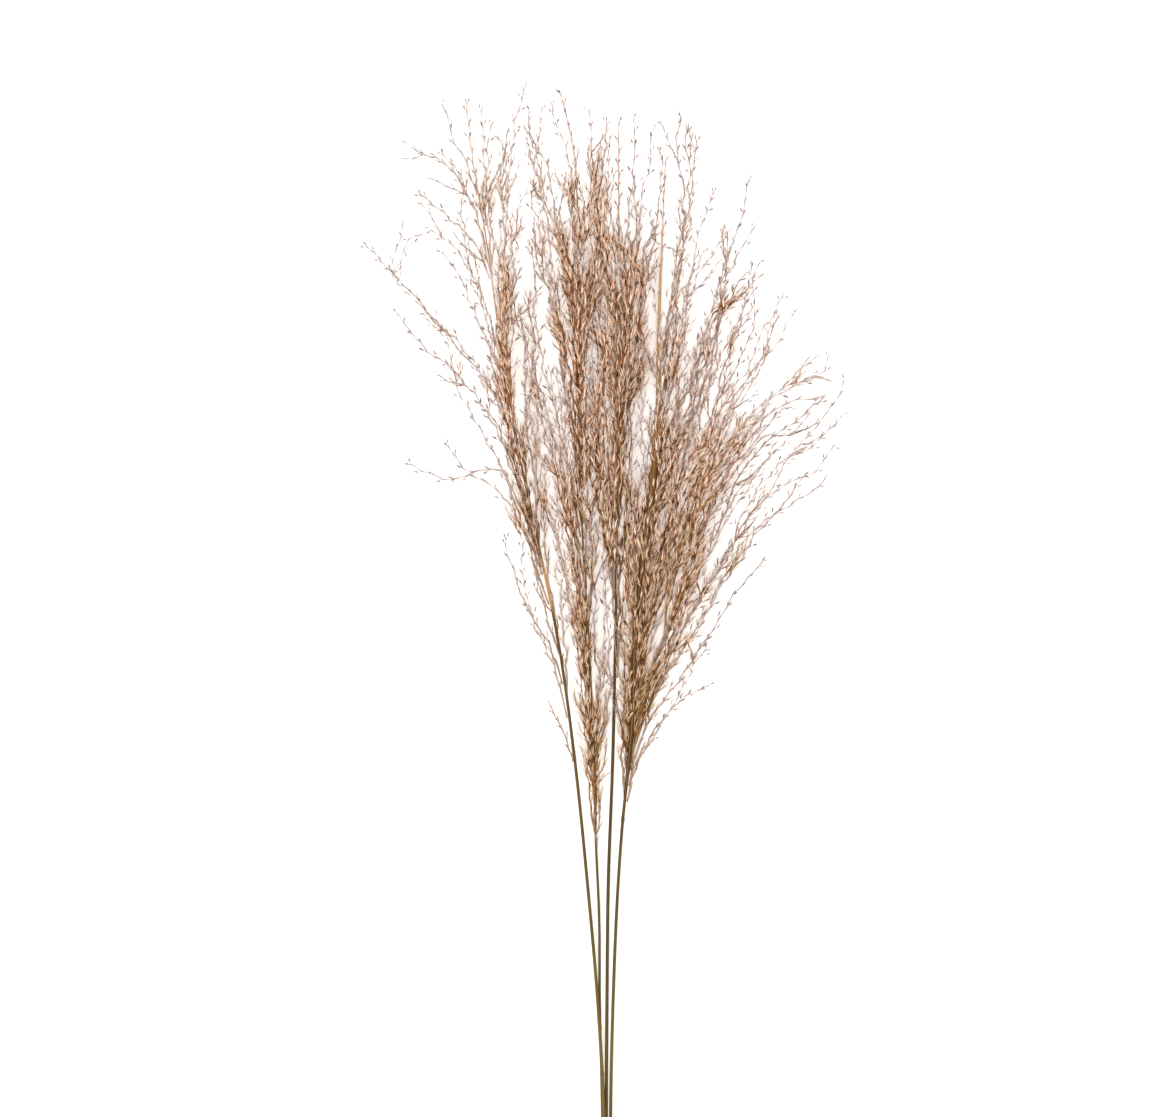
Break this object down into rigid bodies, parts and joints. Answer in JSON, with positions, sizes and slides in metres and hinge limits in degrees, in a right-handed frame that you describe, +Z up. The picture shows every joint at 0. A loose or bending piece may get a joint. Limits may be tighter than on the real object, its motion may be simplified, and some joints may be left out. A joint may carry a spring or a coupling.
{
  "type": "bundle of dried silver grass",
  "caption": "Slender straw-coloured grass stalks lying side by side, gathered at the cut ends and fanning out into airy rose-beige plumes.",
  "frame": {"origin": "middle of the underside of the bounding box, on the surface that the bundle lies on", "axes": "+Z up, away from the surface; +Y along the bundle, from the cut ends to the tips; +X to the right, seen from above with the tips at the top"},
  "size_m": [0.342, 0.85, 0.0532],
  "materials": {
    "culm_straw": "satin",
    "leaf_straw": "satin",
    "raceme_straw": "matte"
  },
  "bodies": {
    "root": {"culm_centre": "culm_straw", "culm_centre_left": "culm_straw", "culm_left": "culm_straw", "culm_right": "culm_straw", "flag_leaf_right": "leaf_straw", "raceme_centre_01": "raceme_straw", "raceme_centre_02": "raceme_straw", "raceme_centre_03": "raceme_straw", "raceme_centre_04": "raceme_straw", "raceme_centre_05": "raceme_straw", "raceme_centre_06": "raceme_straw", "raceme_centre_07": "raceme_straw", "raceme_centre_08": "raceme_straw", "raceme_centre_09": "raceme_straw", "raceme_centre_10": "raceme_straw", "raceme_centre_left_01": "raceme_straw", "raceme_centre_left_02": "raceme_straw", "raceme_centre_left_03": "raceme_straw", "raceme_centre_left_04": "raceme_straw", "raceme_centre_left_05": "raceme_straw", "raceme_centre_left_06": "raceme_straw", "raceme_centre_left_07": "raceme_straw", "raceme_centre_left_08": "raceme_straw", "raceme_centre_left_09": "raceme_straw", "raceme_centre_left_10": "raceme_straw", "raceme_centre_left_11": "raceme_straw", "raceme_centre_left_12": "raceme_straw", "raceme_left_01": "raceme_straw", "raceme_left_02": "raceme_straw", "raceme_left_03": "raceme_straw", "raceme_left_04": "raceme_straw", "raceme_left_05": "raceme_straw", "raceme_left_06": "raceme_straw", "raceme_left_07": "raceme_straw", "raceme_left_08": "raceme_straw", "raceme_left_09": "raceme_straw", "raceme_left_10": "raceme_straw", "raceme_left_11": "raceme_straw", "raceme_left_12": "raceme_straw", "raceme_left_13": "raceme_straw", "raceme_left_14": "raceme_straw", "raceme_left_15": "raceme_straw", "raceme_left_16": "raceme_straw", "raceme_left_17": "raceme_straw", "raceme_right_01": "raceme_straw", "raceme_right_02": "raceme_straw", "raceme_right_03": "raceme_straw", "raceme_right_04": "raceme_straw", "raceme_right_05": "raceme_straw", "raceme_right_06": "raceme_straw", "raceme_right_07": "raceme_straw", "raceme_right_08": "raceme_straw", "raceme_right_09": "raceme_straw", "raceme_right_10": "raceme_straw", "raceme_right_11": "raceme_straw", "raceme_right_12": "raceme_straw", "raceme_right_13": "raceme_straw", "raceme_right_14": "raceme_straw", "raceme_right_15": "raceme_straw", "raceme_right_16": "raceme_straw"}
  },
  "joints": []
}
